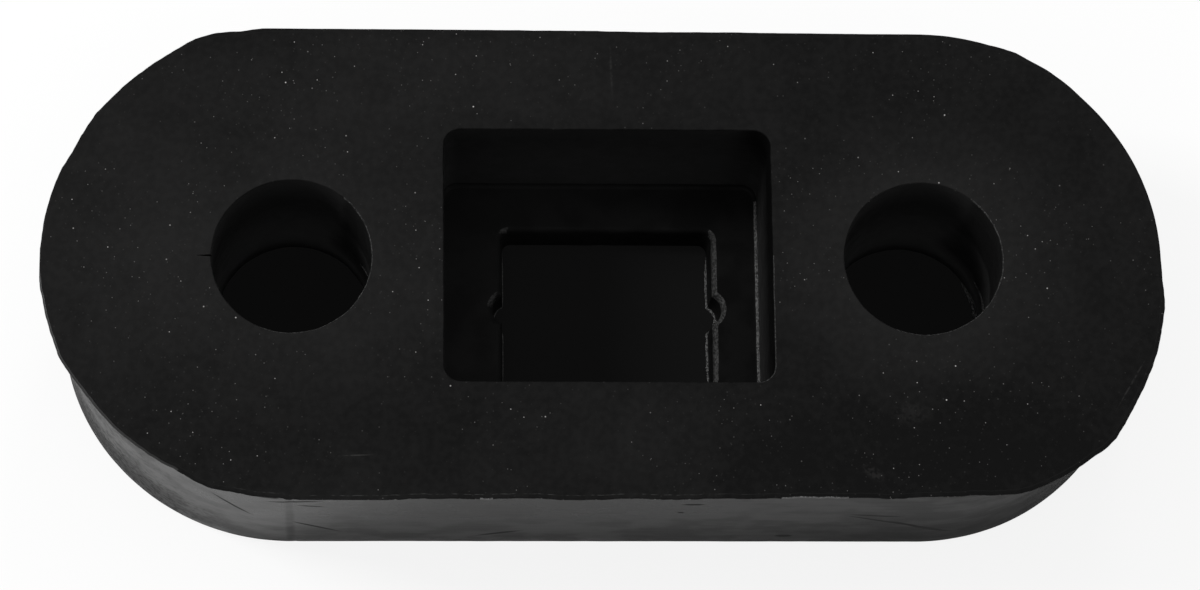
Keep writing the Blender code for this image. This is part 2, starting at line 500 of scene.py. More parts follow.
def block_stations(sizes):
    """Places round the block, anticlockwise: spine point, way out, the lip's reach and its rounding."""
    half = sizes.eye_spacing / 2
    stations = []
    for side, trim, far_trim in ((1, RIGHT_TRIM, LEFT_TRIM), (-1, LEFT_TRIM, RIGHT_TRIM)):
        for step in range(END_STEPS + 1):
            bearing = side * (180 * step / END_STEPS - 90)
            turn = math.radians(bearing)
            worn = max(0.0, 1 - abs(bearing - WORN_BEARING) / WORN_SPREAD) if side < 0 else 0.0
            rounding = SHARP_ROUND + (WORN_ROUND - SHARP_ROUND) * math.sqrt(worn)
            reach = reach_at(bearing, trim)
            stations.append((side * half, side * math.cos(turn), math.sin(turn), reach, rounding))
        near_reach = reach_at(side * 90, trim)
        far_reach = reach_at(side * 90, far_trim)
        for step in range(1, SIDE_STEPS):
            share = step / SIDE_STEPS
            reach = near_reach + share * (far_reach - near_reach)
            stations.append((side * half * (1 - 2 * share), 0.0, side, reach, SHARP_ROUND))
    return stations


def lip_reach(station, sizes):
    """The lip's reach with its ragged cut and the tab at the mould's join."""
    spine_x, out_x, out_y, reach, _ = station
    x = spine_x + out_x * sizes.end_radius
    y = out_y * sizes.end_radius
    wander = 0.0
    for lump, extra, strength in CUT_WAVES:
        wander += strength * smooth_noise(x, y, 0.0, lump, sizes.seed + extra)
    ragged = sizes.raggedness * min(1.0, reach / RAGGED_FROM) * wander
    tab = 0.0
    if out_y < 0.0:
        along = abs(x - JOIN_X)
        tab = TAB_REACH * (max(0.0, 1 - along / TAB_HALF_WIDTH) - max(0.0, 1 - along / TAB_CUT_BACK))
    return max(LEAST_REACH * reach, reach + ragged + tab)


def wall_section(reach, rounding, sizes):
    """The section of the block's edge from the front face down to the back, as (way out, height) pairs.

    Its rows are the pressed line, the rounding, the cut edge, the lip's underside, the wall and the back.
    """
    fine = 0.25 * sizes.lip_edge
    edge_low = FRONT_Z - sizes.lip_edge
    root_low = FRONT_Z - sizes.lip_root
    section = [(reach - PRESSED_IN - PRESSED_WIDTH, FRONT_Z), (reach - PRESSED_IN, FRONT_Z)]
    for step in range(ROUND_STEPS + 1):
        turn = math.radians(90 * step / ROUND_STEPS)
        section.append((reach - rounding * (1 - math.sin(turn)), FRONT_Z - rounding * (1 - math.cos(turn))))
    drop = root_low - edge_low
    section += [
        (reach - 0.05 * fine, edge_low + fine),
        (reach - 0.4 * fine, edge_low + 0.3 * fine),
        (reach - fine, edge_low),
        (0.60 * reach - fine, edge_low + 0.40 * drop),
        (0.25 * reach, edge_low + 0.72 * drop),
        (0.05 * reach, root_low),
    ]
    wall_top = root_low - 0.3 * MM
    wall_low = sizes.back_edge
    for step in range(WALL_STEPS + 1):
        height = wall_top + (wall_low - wall_top) * step / WALL_STEPS
        section.append((-sizes.draft * (1 - height / FRONT_Z), height))
    for step in range(1, EDGE_STEPS + 1):
        turn = math.radians(90 * step / EDGE_STEPS)
        inward = sizes.back_edge * (1 - math.cos(turn))
        section.append((-sizes.draft - inward, sizes.back_edge * (1 - math.sin(turn))))
    return section


def wall_mark(x, y, z, sizes):
    """How far the side wall stands out of its plain shape: slow waves, the swell and the mould's join."""
    mark = WALL_WAVE * smooth_noise(x, y, z, WALL_LUMP, sizes.seed + 3)
    mark += WALL_FINE_SHARE * WALL_WAVE * smooth_noise(x, y, z, WALL_FINE_LUMP, sizes.seed + 4)
    if y < 0.0:
        past_eye = max(0.0, abs(x) - sizes.eye_spacing / 2)
        mark += 2 * END_SWELL[x > 0.0] * past_eye * abs(y) / sizes.end_radius**2
        wander = JOIN_WANDER * smooth_noise(0.0, 0.0, z, 2.0 * MM, sizes.seed)
        join = JOIN_X + JOIN_LEAN * (FRONT_Z - z) + wander
        mark -= JOIN_DEPTH * max(0.0, 1 - abs(x - join) / JOIN_HALF_WIDTH)
    return mark


def loft(name, rings, finish_at):
    """A closed mesh through rings of equally many points, flat at both ends, with finishes by place."""
    shape = bmesh.new()
    loops = [[shape.verts.new(point) for point in ring] for ring in rings]
    for row, (near, far) in enumerate(zip(loops, loops[1:])):
        for index, corner in enumerate(near):
            face = shape.faces.new((corner, near[index - 1], far[index - 1], far[index]))
            face.material_index = finish_at(row, face.calc_center_median())
    first = shape.faces.new(loops[0])
    first.material_index = finish_at(-1, first.calc_center_median())
    last = shape.faces.new(loops[-1])
    last.material_index = finish_at(len(rings) - 1, last.calc_center_median())
    bmesh.ops.recalc_face_normals(shape, faces=shape.faces)
    mesh = bpy.data.meshes.new(name)
    shape.to_mesh(mesh)
    shape.free()
    for finish in FINISHES:
        mesh.materials.append(ready_rubber(finish))
    return mesh


def place(name, mesh):
    """A new object in the scene that holds this mesh."""
    piece = bpy.data.objects.new(name, mesh)
    bpy.context.scene.collection.objects.link(piece)
    return piece


def block_finish(row, middle):
    """The finish of the block's own faces, by the rows of the wall's section and the torn stretches."""
    if row == 0:
        return PRESSED
    if row < 2:
        return FRONT
    if row > 4 + ROUND_STEPS:
        return CUT if middle.z < ROUGH_FOOT else SIDE
    if middle.y < 0.0 and any(start < middle.x < end for start, end in TORN_STRETCHES):
        return TORN_AND_HIGHLIGHT
    if row > 1 + ROUND_STEPS:
        return CUT
    return SIDE if middle.x < SHINY_EDGE_X and middle.y < 0.0 else FRONT


def make_block(sizes):
    """The solid block with its lip, before the eyes, the pocket and the window are cut."""
    stations = block_stations(sizes)
    sections = [wall_section(lip_reach(station, sizes), station[4], sizes) for station in stations]
    lip_rows = len(sections[0]) - WALL_STEPS - EDGE_STEPS - 1
    low, high = CAD_BOX
    rings = []
    for row in range(len(sections[0])):
        ring = []
        for (spine_x, out_x, out_y, _, _), section in zip(stations, sections):
            out, height = section[row]
            radius = sizes.end_radius + out
            if row >= lip_rows:
                x = spine_x + out_x * radius
                radius += wall_mark(x, out_y * radius, height, sizes)
            x = max(low[0], min(high[0], spine_x + out_x * radius))
            y = max(low[1], min(high[1], out_y * radius))
            ring.append((x, y, height))
        rings.append(ring)
    return place("rubber_hanger", loft("rubber_hanger", rings, block_finish))


def level_ring(outline, height, seed, wander):
    """An outline at a height, moved about a little so that it isn't a perfect shape."""
    ring = []
    for x, y in outline:
        shift = noise.noise_vector(Vector((x / MM + 11.0 * seed, y / MM, height / MM)))
        ring.append((x + wander * shift.x, y + wander * shift.y, height))
    return ring


def mouth_levels(height, radius):
    """The levels of a rounded mouth: (height, outset) pairs from above the face down into the hole."""
    return [(height + up * radius, outset * radius) for up, outset in MOUTH]


def front_levels(sizes):
    """The levels of a cutter from over the front face down through the rounded mouth."""
    outset = OVERRUN_OUTSET * sizes.edge_radius
    return [(FRONT_Z + OVERRUN, outset)] + mouth_levels(FRONT_Z, sizes.edge_radius)


def eye_outline(sizes, side, outset):
    """An eye's round wall."""
    centre = (side * sizes.eye_spacing / 2, 0.0)
    return arc_points(centre, sizes.eye_diameter / 2 + outset, 0, 360, EYE_STEPS)


def eye_finish(row, middle):
    """The eye's wall takes the eye finish, and the lower and right parts of its mouths are worn and paled
    partly as a painted highlight.
    """
    if row >= MOUTH_ROWS:
        return EYE
    away = middle.x - math.copysign(bpy.context.scene.hanger_sizes.eye_spacing / 2, middle.x)
    return WORN_AND_HIGHLIGHT if away > 0.6 * middle.y + 0.001 else FRONT


def eye_cutter(sizes, side):
    """What is cut from the block for an eye: a round hole with rounded mouths on both faces."""
    levels = front_levels(sizes)
    for step in range(1, EYE_ROWS):
        levels.append((FRONT_Z * (1 - step / EYE_ROWS), 0.0))
    back_mouth = mouth_levels(0.0, 1.5 * sizes.edge_radius)
    levels += [(-height, outset) for height, outset in reversed(back_mouth)]
    levels.append((-OVERRUN, 4.0 * sizes.edge_radius))
    rings = []
    for height, outset in levels:
        rings.append(level_ring(eye_outline(sizes, side, outset), height, 3 + side, EYE_WANDER))
    return place("eye_cutter", loft("eye_cutter", rings, eye_finish))


def cornered_outline(right, half_x, half_y, corner):
    """An anticlockwise outline with this right side, its like on the left, and round corners between."""
    left = [(-x, -y) for x, y in right]
    inner_x = half_x - corner
    inner_y = half_y - corner
    points = right + arc_points((inner_x, inner_y), corner, 0, 90, CORNER_STEPS)
    points += line_points((inner_x, half_y), (-inner_x, half_y), STRAIGHT_STEPS)
    points += arc_points((-inner_x, inner_y), corner, 90, 180, CORNER_STEPS)
    points += left + arc_points((-inner_x, -inner_y), corner, 180, 270, CORNER_STEPS)
    points += line_points((-inner_x, -half_y), (inner_x, -half_y), STRAIGHT_STEPS)
    points += arc_points((inner_x, -inner_y), corner, 270, 360, CORNER_STEPS)
    return points


def rounded_outline(width, height, corner):
    """A rectangle with round corners, anticlockwise from the foot of its right side."""
    straight = height / 2 - corner
    right = line_points((width / 2, -straight), (width / 2, straight), STRAIGHT_STEPS)
    return cornered_outline(right, width / 2, height / 2, corner)


def pocket_finish(row, middle):
    """The web and the fillet round it are dull, but for a torn bright line down the right-hand side, paled
    partly as a painted highlight. The lower right of the mouth is worn and paled the same way.
    """
    if row < MOUTH_ROWS:
        return WORN_AND_HIGHLIGHT if middle.x > WORN_POCKET_X and middle.y < 0.0 else FRONT
    if row < POCKET_WALL_ROWS:
        return INNER
    on_fillet = POCKET_WALL_ROWS < row < POCKET_WALL_ROWS + FILLET_STEPS - 1
    return TORN_AND_HIGHLIGHT if on_fillet and middle.x > TORN_FILLET_X and middle.y < TORN_FILLET_Y else WEB


def pocket_cutter(sizes):
    """What is cut from the block for the pocket: rounded at its mouth, with a fillet round the web."""
    levels = front_levels(sizes)
    fillet = sizes.pocket_fillet
    rows = POCKET_WALL_ROWS - MOUTH_ROWS
    for step in range(1, rows):
        levels.append((FRONT_Z + (sizes.web + fillet - FRONT_Z) * step / rows, 0.0))
    for step in range(FILLET_STEPS + 1):
        turn = math.radians(90 * step / FILLET_STEPS)
        levels.append((sizes.web + fillet * (1 - math.sin(turn)), -fillet * (1 - math.cos(turn))))
    rings = []
    for height, outset in levels:
        width = sizes.pocket_width + 2 * outset
        tall = sizes.pocket_height + 2 * outset
        outline = rounded_outline(width, tall, sizes.pocket_corner + outset)
        raised = [(x, y + sizes.pocket_rise) for x, y in outline]
        rings.append(level_ring(raised, height, 9, POCKET_WANDER))
    return place("pocket_cutter", loft("pocket_cutter", rings, pocket_finish))


def eared_side(half_width, low, high, bulge, ear_radius):
    """The right side of the window from its foot to its head, round the ear in its middle."""
    ear_centre = (half_width + bulge - ear_radius, 0.0)
    spread = math.acos((ear_radius - bulge) / ear_radius)
    chord = ear_radius * math.sin(spread)
    degrees = math.degrees(spread)
    points = line_points((half_width, low), (half_width, -chord), STRAIGHT_STEPS)
    points += arc_points(ear_centre, ear_radius, -degrees, degrees, EAR_STEPS)
    points += line_points((half_width, chord), (half_width, high), STRAIGHT_STEPS)
    return points


def window_outline(sizes, height, inset):
    """The window's wall at a height over the back face, drawn in by the inset."""
    waist = sizes.window_width - 2 * WINDOW_ROLL
    rise = min(1.0, height / sizes.web)
    width = sizes.window_back_width + (waist - sizes.window_back_width) * rise
    half_x = width / 2 + WINDOW_ROLL - inset
    half_y = sizes.window_height / 2 + WINDOW_ROLL - inset
    corner = sizes.window_corner + WINDOW_ROLL - inset
    straight = half_y - corner
    right = eared_side(half_x, -straight, straight, sizes.ear_bulge, sizes.ear_radius - inset)
    return [(x + sizes.window_shift, y) for x, y in cornered_outline(right, half_x, half_y, corner)]


def window_finish(row, middle):
    """The window's wall is dull. Its rolled front edge is worn on the right and at spots on the left, and
    paled there partly as a painted highlight.
    """
    if row > len(ROLL_BEARINGS):
        return WEB
    for low, high in WORN_WINDOW_SPOTS:
        if low[0] < middle.x < high[0] and low[1] < middle.y < high[1]:
            return WORN_AND_HIGHLIGHT
    return WORN_AND_HIGHLIGHT if middle.x > WORN_WINDOW_X else WEB


def window_cutter(sizes):
    """What is cut from the web for the window, with a worn round edge on its front side."""
    roll = WINDOW_ROLL
    levels = [(sizes.web + OVERRUN, -0.6 * roll), (sizes.web + 0.1 * roll, -0.12 * roll)]
    for bearing in ROLL_BEARINGS:
        turn = math.radians(bearing)
        levels.append((sizes.web - roll * (1 - math.cos(turn)), roll * math.sin(turn)))
    levels += [(0.5 * sizes.web, roll), (-OVERRUN, roll)]
    rings = []
    for height, inset in levels:
        rings.append(level_ring(window_outline(sizes, height, inset), height, 21, WINDOW_WANDER))
    return place("window_cutter", loft("window_cutter", rings, window_finish))


def slit_cutter(sizes):
    """The short slit that runs from the left eye towards the end of the block."""
    mouth_x = -sizes.eye_spacing / 2 - sizes.eye_diameter / 2 + SLIT_WIDTH
    tip_x = mouth_x - SLIT_WIDTH - SLIT_LENGTH
    rings = []
    for height, share in ((FRONT_Z + OVERRUN, 1.0), (FRONT_Z, 1.0), (FRONT_Z - SLIT_DEPTH, 0.15)):
        tip = mouth_x + (tip_x - mouth_x) * share
        half = SLIT_WIDTH / 2 * share
        mouth = [(mouth_x, -half, height), (mouth_x, half, height)]
        rings.append(mouth + [(tip, 0.3 * half, height), (tip, -0.1 * half, height)])
    return place("slit_cutter", loft("slit_cutter", rings, lambda row, middle: INNER))


def evaluated_mesh(piece):
    """The mesh that an object's modifiers make of it."""
    bpy.context.view_layer.update()
    graph = bpy.context.evaluated_depsgraph_get()
    return bpy.data.meshes.new_from_object(piece.evaluated_get(graph))


def cut_away(block, cutters):
    """Cut every cutter from the block and drop the cutters."""
    for cutter in cutters:
        boolean = block.modifiers.new(cutter.name, "BOOLEAN")
        boolean.operation = "DIFFERENCE"
        boolean.solver = "EXACT"
        boolean.object = cutter
    mesh = evaluated_mesh(block)
    block.modifiers.clear()
    block.data = mesh
    for cutter in cutters:
        bpy.data.objects.remove(cutter, do_unlink=True)


def finish_mesh(mesh):
    """Merge what the cuts left double, and shade the walls smooth and the flat faces flat."""
    shape = bmesh.new()
    shape.from_mesh(mesh)
    bmesh.ops.remove_doubles(shape, verts=shape.verts, dist=WELD)
    bmesh.ops.dissolve_degenerate(shape, edges=shape.edges, dist=WELD)
    for face in shape.faces:
        face.smooth = True
    for edge in shape.edges:
        faces = edge.link_faces
        if len(faces) != 2:
            continue
        flat = any(abs(face.normal.z) > FLAT_COSINE for face in faces)
        limit = FLAT_SHARP_ANGLE if flat else SHARP_ANGLE
        edge.smooth = edge.calc_face_angle() < limit
    shape.to_mesh(mesh)
    shape.free()


class HANGER_OT_body(bpy.types.Operator):
    """Make the moulded rubber block with its lip, eyes, pocket, web and window"""

    bl_idname = "hanger.body"
    bl_label = "Rubber block"

    def execute(self, context):
        sizes = context.scene.hanger_sizes
        block = make_block(sizes)
        cutters = [eye_cutter(sizes, side) for side in (1, -1)]
        cutters += [pocket_cutter(sizes), window_cutter(sizes), slit_cutter(sizes)]
        cut_away(block, cutters)
        finish_mesh(block.data)
        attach(block, "root")
        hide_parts(BODY_NODE)
        return {"FINISHED"}


def add_node(tree, kind, inputs, **settings):
    """A node with its settings. Its inputs go by name or number, as values or as other nodes' outputs."""
    node = tree.nodes.new(kind)
    for name, value in settings.items():
        setattr(node, name, value)
    for name, value in inputs.items():
        if isinstance(value, bpy.types.NodeSocket):
            tree.links.new(value, node.inputs[name])
        else:
            node.inputs[name].default_value = value
    return node


def maths(tree, operation, first, second, clamp=False):
    """The result of one sum on two values."""
    inputs = {0: first, 1: second}
    return add_node(tree, "ShaderNodeMath", inputs, operation=operation, use_clamp=clamp).outputs[0]


def flash_tree():
    """Geometry Nodes that run a thin ragged fin of flash along a path, fading out at both of its ends."""
    tree = bpy.data.node_groups.new("flash_fin", "GeometryNodeTree")
    for name, kind, default in FIN_INPUTS:
        socket = tree.interface.new_socket(name, in_out="INPUT", socket_type="NodeSocket" + kind)
        if default is not None:
            socket.default_value = default
    tree.interface.new_socket("Fin", in_out="OUTPUT", socket_type="NodeSocketGeometry")
    given = tree.nodes.new("NodeGroupInput").outputs
    inputs = {"Curve": given["Path"], "Length": given["Spacing"]}
    path = add_node(tree, "GeometryNodeResampleCurve", inputs, mode="LENGTH")
    flat = add_node(tree, "GeometryNodeSetCurveNormal", {"Curve": path.outputs["Curve"]}, mode="Z_UP")
    inputs = {"W": given["Seed"], "Scale": maths(tree, "DIVIDE", 1.0, given["Lump"]), "Detail": 2.0}
    texture = add_node(tree, "ShaderNodeTexNoise", inputs, noise_dimensions="4D")
    swing = maths(tree, "MULTIPLY", maths(tree, "SUBTRACT", texture.outputs[0], 0.5), given["Raggedness"])
    ragged = add_node(tree, "ShaderNodeMapRange", {0: swing, 1: -0.25, 2: 0.25, 3: 0.15, 4: 1.6}).outputs[0]
    along = tree.nodes.new("GeometryNodeSplineParameter").outputs["Factor"]
    bow = maths(tree, "MULTIPLY", along, maths(tree, "SUBTRACT", 1.0, along))
    taper = maths(tree, "MULTIPLY", bow, FIN_TAPER, clamp=True)
    share = tree.nodes.new("GeometryNodeInputRadius").outputs[0]
    size_at = maths(tree, "MULTIPLY", ragged, maths(tree, "MULTIPLY", taper, share))
    ring = add_node(tree, "GeometryNodeCurvePrimitiveCircle", {"Resolution": 8, "Radius": 1.0})
    size = add_node(tree, "ShaderNodeCombineXYZ", {0: given["Reach"], 1: given["Thickness"], 2: 1.0})
    inputs = {"Geometry": ring.outputs["Curve"], "Scale": size.outputs[0]}
    section = add_node(tree, "GeometryNodeTransform", inputs).outputs[0]
    inputs = {"Curve": flat.outputs[0], "Profile Curve": section, "Scale": size_at, "Fill Caps": True}
    fin = add_node(tree, "GeometryNodeCurveToMesh", inputs)
    smooth = add_node(tree, "GeometryNodeSetShadeSmooth", {"Geometry": fin.outputs[0]})
    real = add_node(tree, "GeometryNodeRealizeInstances", {"Geometry": smooth.outputs[0]})
    inputs = {"Geometry": real.outputs[0], "Material": given["Material"]}
    coated = add_node(tree, "GeometryNodeSetMaterial", inputs)
    result = tree.nodes.new("NodeGroupOutput")
    tree.links.new(coated.outputs[0], result.inputs["Fin"])
    return tree


def guide_paths(name, paths):
    """A curve object with one open line for each (points, share), which keeps the share as its radius."""
    curve = bpy.data.curves.new(name, "CURVE")
    curve.dimensions = "3D"
    for points, share in paths:
        line = curve.splines.new("POLY")
        line.points.add(len(points) - 1)
        for point, (x, y, z) in zip(line.points, points):
            point.co = (x, y, z, 1.0)
            point.radius = share
    guide = bpy.data.objects.new(name + "_path", curve)
    bpy.context.scene.collection.objects.link(guide)
    return guide


def run_fins(name, paths, values):
    """Fins of flash along the paths, as a plain mesh object with this name."""
    guide = guide_paths(name, paths)
    tree = flash_tree()
    modifier = guide.modifiers.new("flash", "NODES")
    modifier.node_group = tree
    values = dict(values, Material=ready_rubber("rubber_torn_and_highlight"))
    for item in tree.interface.items_tree:
        if item.in_out == "INPUT" and item.name in values:
            modifier[item.identifier] = values[item.name]
    mesh = evaluated_mesh(guide)
    bpy.data.objects.remove(guide, do_unlink=True)
    mesh.name = name
    return place(name, mesh)


def eye_fin_path(sizes, side, start, end, start_height, end_height):
    """A line on an eye's wall between two bearings and two heights."""
    centre_x = side * sizes.eye_spacing / 2
    radius = sizes.eye_diameter / 2
    points = []
    for step in range(FIN_STEPS + 1):
        share = step / FIN_STEPS
        turn = math.radians(start + share * (end - start))
        height = start_height + share * (end_height - start_height)
        points.append((centre_x + radius * math.cos(turn), radius * math.sin(turn), height))
    return points


class HANGER_OT_eye_flash(bpy.types.Operator):
    """Run short torn fins of flash along the walls of the eyes, where the mould's core pins met"""

    bl_idname = "hanger.eye_flash"
    bl_label = "Flash in the eyes"

    def execute(self, context):
        sizes = context.scene.hanger_sizes
        paths = [(eye_fin_path(sizes, *fin[:-1]), fin[-1]) for fin in EYE_FINS]
        values = {"Reach": sizes.flash_reach, "Thickness": 0.05 * MM, "Raggedness": 0.6}
        values["Seed"] = sizes.seed
        fins = run_fins("eye_flash", paths, values)
        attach(fins, "root")
        return {"FINISHED"}


class HANGER_OT_window_flash(bpy.types.Operator):
    """Run thin ragged fins of flash along the back edges of the window's sides"""

    bl_idname = "hanger.window_flash"
    bl_label = "Flash in the window"

    def execute(self, context):
        sizes = context.scene.hanger_sizes
        height = WINDOW_FLASH_HEIGHT
        ring = [(x, y, height) for x, y in window_outline(sizes, height, WINDOW_ROLL)]
        side_count = 2 * STRAIGHT_STEPS + EAR_STEPS
        left_start = side_count + 2 * CORNER_STEPS + STRAIGHT_STEPS
        sides = (ring[:side_count], ring[left_start:left_start + side_count])
        paths = list(zip(sides, WINDOW_FLASH_SHARES))
        values = {"Reach": sizes.flash_reach, "Thickness": 0.06 * MM, "Raggedness": 0.4}
        values["Seed"] = sizes.seed + 5
        fin = run_fins("window_flash", paths, values)
        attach(fin, "root")
        return {"FINISHED"}


def start_material(name):
    """A new material, its nodes and the place of each point on the object."""
    material = bpy.data.materials.new(name)
    material.use_nodes = True
    tree = material.node_tree
    return material, tree, tree.nodes.new("ShaderNodeTexCoord").outputs["Object"]


def axes(tree, point):
    """The point's places along X, Y and Z."""
    return list(add_node(tree, "ShaderNodeSeparateXYZ", {0: point}).outputs)


def cloud(tree, point, lump, detail, stretch=(1.0, 1.0, 1.0)):
    """A noise pattern whose lumps are about one size, in metres, and longer by each part of the stretch."""
    scale = [1 / (lump * part) for part in stretch]
    mapping = add_node(tree, "ShaderNodeMapping", {"Vector": point, "Scale": scale})
    inputs = {"Vector": mapping.outputs[0], "Scale": 1.0, "Detail": detail}
    return add_node(tree, "ShaderNodeTexNoise", inputs).outputs[0]


def ramp(tree, value, low, high, low_result=0.0, high_result=1.0):
    """Map a value smoothly from one range to another, and stay within that."""
    inputs = {0: value, 1: low, 2: high, 3: low_result, 4: high_result}
    return add_node(tree, "ShaderNodeMapRange", inputs, interpolation_type="SMOOTHSTEP").outputs[0]


def between(tree, value, low_result, high_result):
    """The low result where the value is 0, and the high one where it is 1."""
    return ramp(tree, value, 0.0, 1.0, low_result, high_result)


def mottle(tree, point, lump, detail, low, high):
    """Blotches of about one size: 0 where the noise is under the low level, and 1 over the high one."""
    return ramp(tree, cloud(tree, point, lump, detail), low, high)


def combine(tree, operation, first, second):
    """The result of one sum on two values, kept between 0 and 1."""
    return maths(tree, operation, first, second, clamp=True)


def times(tree, first, second):
    """The product of two shares."""
    return combine(tree, "MULTIPLY", first, second)


def weighted_sum(tree, parts):
    """The sum of values times their weights, kept between 0 and 1."""
    total = 0.0
    for value, weight in parts:
        inputs = {0: value, 1: weight, 2: total}
        total = add_node(tree, "ShaderNodeMath", inputs, operation="MULTIPLY_ADD").outputs[0]
    return combine(tree, "ADD", total, 0.0)


def blend_colour(tree, factor, first, second):
    """The first colour where the factor is 0, and the second where it is 1."""
    inputs = {0: factor, 6: first, 7: second}
    return add_node(tree, "ShaderNodeMix", inputs, data_type="RGBA").outputs[2]


def dust_specks(tree, point, cell, radius, kept):
    """Small scattered specks, some brighter than others, in only a share of the cells."""
    inputs = {"Vector": point, "Rotation": (0.0, 0.0, 700 * cell), "Scale": [1 / cell] * 3}
    mapping = add_node(tree, "ShaderNodeMapping", inputs)
    inputs = {"Vector": mapping.outputs[0], "Scale": 1.0}
    cells = add_node(tree, "ShaderNodeTexVoronoi", inputs, voronoi_dimensions="2D")
    speck = ramp(tree, cells.outputs["Distance"], 0.5 * radius / cell, 1.2 * radius / cell, 1.0, 0.0)
    lot = add_node(tree, "ShaderNodeSeparateColor", {0: cells.outputs["Color"]}).outputs[0]
    return times(tree, speck, ramp(tree, lot, 1 - kept, 1.0))


def patch(tree, point, middle, size, turn):
    """A soft oval that is 1 at a place and fades to 0 at its size, turned about the three axes."""
    inputs = {"Vector": point, "Location": middle, "Rotation": turn, "Scale": [part / 2 for part in size]}
    mapping = add_node(tree, "ShaderNodeMapping", inputs, vector_type="TEXTURE")
    reach = add_node(tree, "ShaderNodeVectorMath", {0: mapping.outputs[0]}, operation="LENGTH")
    return ramp(tree, reach.outputs["Value"], 0.3, 1.0, 1.0, 0.0)


def face_patch(tree, point, middle, length, width, turn=0.0):
    """A soft oval on the front face, given in millimetres and degrees."""
    place_at = (middle[0] * MM, middle[1] * MM, FRONT_Z)
    size = (length * MM, width * MM, FACE_PATCH_DEPTH)
    return patch(tree, point, place_at, size, (0.0, 0.0, math.radians(turn)))


def wall_patch(tree, point, middle, length, width, lean):
    """A soft oval on the lower side wall, given in millimetres and degrees."""
    place_at = (middle[0] * MM, WALL_Y, middle[1] * MM)
    size = (length * MM, width * MM, WALL_PATCH_DEPTH)
    return patch(tree, point, place_at, size, (math.radians(90), math.radians(lean), 0.0))


def coat(material, point, colour, roughness, specular, grain_depth, wave_depth):
    """Give a rubber its colour, its sheen, the fine grain of its mould and the slow waves under it."""
    tree = material.node_tree
    shader = tree.nodes["Principled BSDF"]
    tree.links.new(colour, shader.inputs["Base Color"])
    tree.links.new(roughness, shader.inputs["Roughness"])
    shader.inputs["Specular IOR Level"].default_value = specular
    waves = cloud(tree, point, WAVE_LUMP, 3.0)
    wave = add_node(tree, "ShaderNodeBump", {"Height": waves, "Distance": wave_depth})
    grain = cloud(tree, point, GRAIN_LUMP, 3.0)
    inputs = {"Height": grain, "Distance": grain_depth, "Normal": wave.outputs[0]}
    bump = add_node(tree, "ShaderNodeBump", inputs)
    tree.links.new(bump.outputs[0], shader.inputs["Normal"])
    return material


def face_rubber(finish):
    """The dull front face: greyed round the eyes and in broad patches, partly bloom and partly painted light
    and shade, mottled, a little scuffed and speckled with dust.
    """
    material, tree, point = start_material("rubber_face")
    blotches = mottle(tree, point, 2.6 * MM, 4.0, 0.36, 0.66)
    parts = [
        (mottle(tree, point, 12.0 * MM, 2.0, 0.35, 0.65), 0.14),
        (blotches, 0.20),
        (mottle(tree, point, 0.55 * MM, 4.0, 0.34, 0.66), 0.24),
    ]
    # Broad patches, partly bloom and partly painted light and shade.
    for *oval, weight in BLOOM_AND_LIGHT_PATCHES:
        parts.append((face_patch(tree, point, *oval), weight))
    colour = blend_colour(tree, weighted_sum(tree, parts), finish.rubber, finish.bloom_and_painted_light)
    grain = mottle(tree, point, 0.35 * MM, 4.0, 0.36, 0.60)
    for *oval, weight in SCUFFS:
        scuff = times(tree, face_patch(tree, point, *oval), grain)
        colour = blend_colour(tree, times(tree, scuff, weight), colour, finish.dust)
    clumps = ramp(tree, cloud(tree, point, 7.0 * MM, 2.0), 0.38, 0.60, 0.12, 1.0)
    for cell, radius, kept, weight in DUST:
        specks = times(tree, dust_specks(tree, point, cell * MM, radius * MM, kept), clumps)
        colour = blend_colour(tree, times(tree, specks, weight), colour, finish.dust)
    roughness = between(tree, blotches, finish.roughness - 0.05, finish.roughness + 0.07)
    return coat(material, point, colour, roughness, finish.specular, 0.010 * MM, 0.020 * MM)


def side_rubber(finish):
    """The moulded side wall: satin, with fine streaks and scuffs, duller low down and at both ends, and
    paled towards the left as painted light.
    """
    material, tree, point = start_material("rubber_side")
    streaks = ramp(tree, cloud(tree, point, 0.35 * MM, 3.0, (16.0, 16.0, 1.0)), 0.32, 0.68)
    smudges = ramp(tree, cloud(tree, point, 2.0 * MM, 5.0, (1.6, 1.6, 1.0)), 0.36, 0.64)
    crumbs = mottle(tree, point, 0.45 * MM, 4.0, 0.46, 0.66)
    x, _, z = axes(tree, point)
    # Painted light: the side wall is paled towards its left end, standing in for the light from the left.
    painted_light_leftward = ramp(tree, x, -40.0 * MM, 2.0 * MM, 1.0, 0.0)
    left_end = ramp(tree, x, -41.0 * MM, -26.0 * MM, 1.0, 0.0)
    right_end = ramp(tree, x, -4.0 * MM, 40.0 * MM)
    low_down = ramp(tree, z, 0.4 * MM, 10.5 * MM, 1.0, 0.0)
    # Streaks and smudges grey the wall; the leftward part of this mix is painted light.
    greyed = weighted_sum(tree, [(streaks, 0.20), (smudges, 0.25), (painted_light_leftward, 0.55)])
    colour = blend_colour(tree, greyed, finish.rubber, finish.side_bloom_and_painted_light)
    dull = times(tree, times(tree, crumbs, left_end), between(tree, low_down, 0.15, 0.6))
    for *oval, weight in WALL_SCUFFS:
        dull = combine(tree, "MAXIMUM", dull, times(tree, wall_patch(tree, point, *oval), weight))
    parts = [(streaks, 0.06), (smudges, 0.15), (low_down, 0.27), (left_end, 0.26), (right_end, 0.38)]
    level = weighted_sum(tree, parts + [(dull, 0.9)])
    roughness = between(tree, level, finish.side_roughness - 0.03, finish.side_roughness + 0.5)
    return coat(material, point, colour, roughness, finish.side_specular, 0.0010 * MM, 0.0020 * MM)


